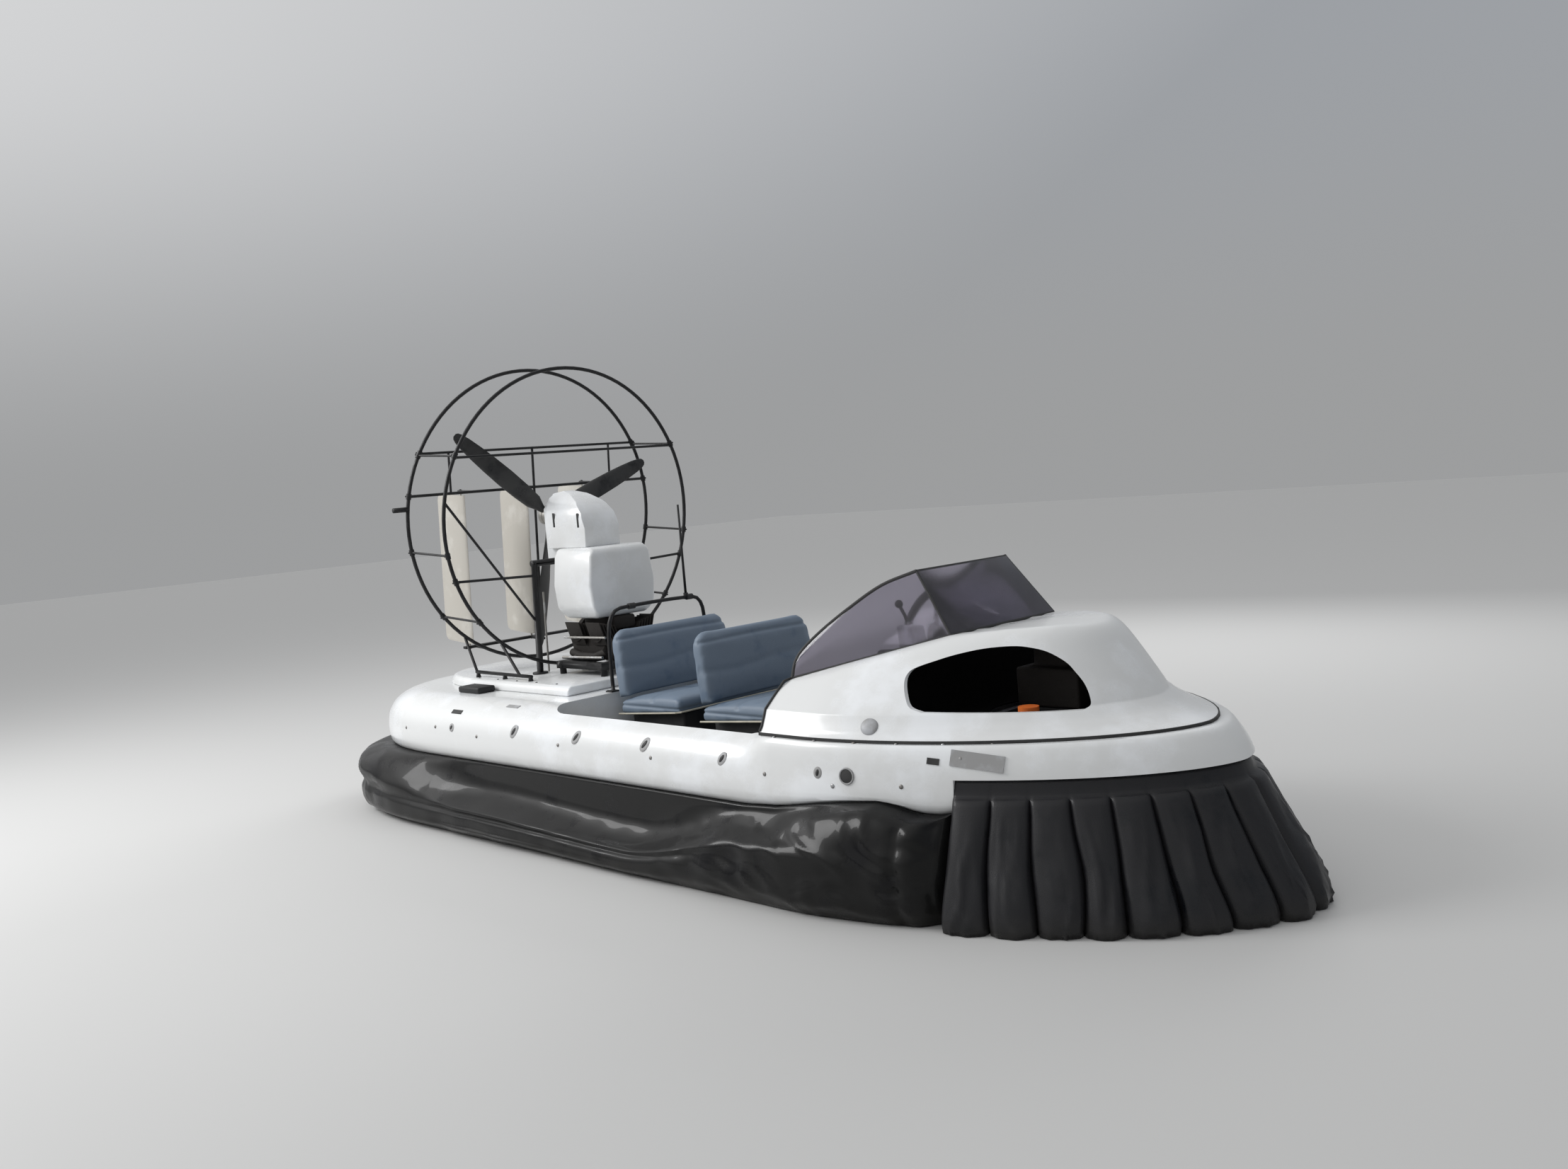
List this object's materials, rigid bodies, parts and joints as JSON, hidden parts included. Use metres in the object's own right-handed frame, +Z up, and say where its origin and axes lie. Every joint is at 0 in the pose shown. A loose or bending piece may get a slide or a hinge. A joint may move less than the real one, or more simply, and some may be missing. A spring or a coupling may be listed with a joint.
{
  "type": "hovercraft",
  "caption": "Light leisure hovercraft with decked bow, two bench seats, a caged air propeller with rudders at the stern, a lift fan in the bow and a bag and finger skirt.",
  "frame": {"origin": "on the floor at the middle of the bounding box", "axes": "+X to the bow, +Y to port, +Z up"},
  "size_m": [6.1393, 2.26, 2.6486],
  "materials": {
    "gelcoat": "white moulded gelcoat, lightly worn",
    "black_tube": "black powder coat",
    "skirt_fabric": "coated black skirt fabric",
    "vinyl": "blue-grey marine vinyl",
    "tinted": "smoke tinted acrylic",
    "rudder_white": "off-white foam-cored skin",
    "blade_black": "black composite",
    "engine_black": "dark engine castings",
    "alloy": "machined alloy",
    "plastic": "black moulded plastic",
    "rubber_black": "black rubber",
    "pale_box": "pale grey plastic"
  },
  "bodies": {
    "root": {"hull_pan": "gelcoat", "hull_deck": "gelcoat", "engine_deck": "gelcoat", "bow_cowl": "gelcoat", "bulkhead": "gelcoat", "engine_cover": "gelcoat", "drive_cover": "gelcoat", "joint_strip": "rubber_black", "stern_pad": "plastic", "skid_port": "plastic", "skid_starboard": "plastic", "dashboard": "plastic", "seat_front_base": "plastic", "seat_rear_base": "plastic", "lift_duct": "plastic", "side_lamp": "plastic", "skirt_bag": "skirt_fabric", "skirt_fingers": "skirt_fabric", "windscreen_front": "tinted", "windscreen_port": "tinted", "windscreen_starboard": "tinted", "seat_front_cushion": "vinyl", "seat_front_back": "vinyl", "seat_rear_cushion": "vinyl", "seat_rear_back": "vinyl", "seat_hoop": "black_tube", "radio_mast": "black_tube", "engine_frame": "black_tube", "guard_ring_front": "black_tube", "guard_ring_rear": "black_tube", "thrust_frame": "black_tube", "cage_base_port": "black_tube", "cage_base_starboard": "black_tube", "steering_column": "black_tube", "lift_stay": "black_tube", "throttle_box": "pale_box", "engine_block": "engine_black", "lift_engine": "engine_black"},
    "propeller": {"propeller_hub": "alloy", "propeller_blade_1": "blade_black", "propeller_blade_2": "blade_black", "propeller_blade_3": "blade_black"},
    "rudder_starboard": {"rudder_1": "rudder_white"},
    "rudder_middle": {"rudder_2": "rudder_white"},
    "rudder_port": {"rudder_3": "rudder_white"},
    "steering_wheel": {"steering_wheel": "rubber_black"},
    "lift_fan": {"lift_fan": "pale_box"}
  },
  "joints": [
    {"name": "propeller_spin", "type": "hinge", "parent": "root", "child": "propeller", "pos_m": [-1.7504, 0, 1.72901], "axis": [0.9973, 0, -0.0732], "continuous": true},
    {"name": "lift_fan_spin", "type": "hinge", "parent": "root", "child": "lift_fan", "pos_m": [1.96, 0, 0.6], "axis": [0, 0, 1], "continuous": true},
    {"name": "rudder_middle_turn", "type": "hinge", "parent": "root", "child": "rudder_middle", "pos_m": [-2.01968, 0, 1.74879], "axis": [0.0732, 0, 0.9973], "range_deg": [-30, 30]},
    {"name": "rudder_starboard_turn", "type": "hinge", "parent": "root", "child": "rudder_starboard", "pos_m": [-2.01968, -0.46, 1.74879], "axis": [0.0732, 0, 0.9973], "range_deg": [-30, 30]},
    {"name": "rudder_port_turn", "type": "hinge", "parent": "root", "child": "rudder_port", "pos_m": [-2.01968, 0.46, 1.74879], "axis": [0.0732, 0, 0.9973], "range_deg": [-30, 30]},
    {"name": "steering_turn", "type": "hinge", "parent": "root", "child": "steering_wheel", "pos_m": [1.15, 0, 1.078], "axis": [0.9063, 0, -0.4226], "range_deg": [-120, 120]}
  ],
  "couplings": [
    {"joint": "rudder_starboard_turn", "follows": "rudder_middle_turn", "ratio": 1},
    {"joint": "rudder_port_turn", "follows": "rudder_middle_turn", "ratio": 1},
    {"joint": "steering_turn", "follows": "rudder_middle_turn", "ratio": 4}
  ]
}
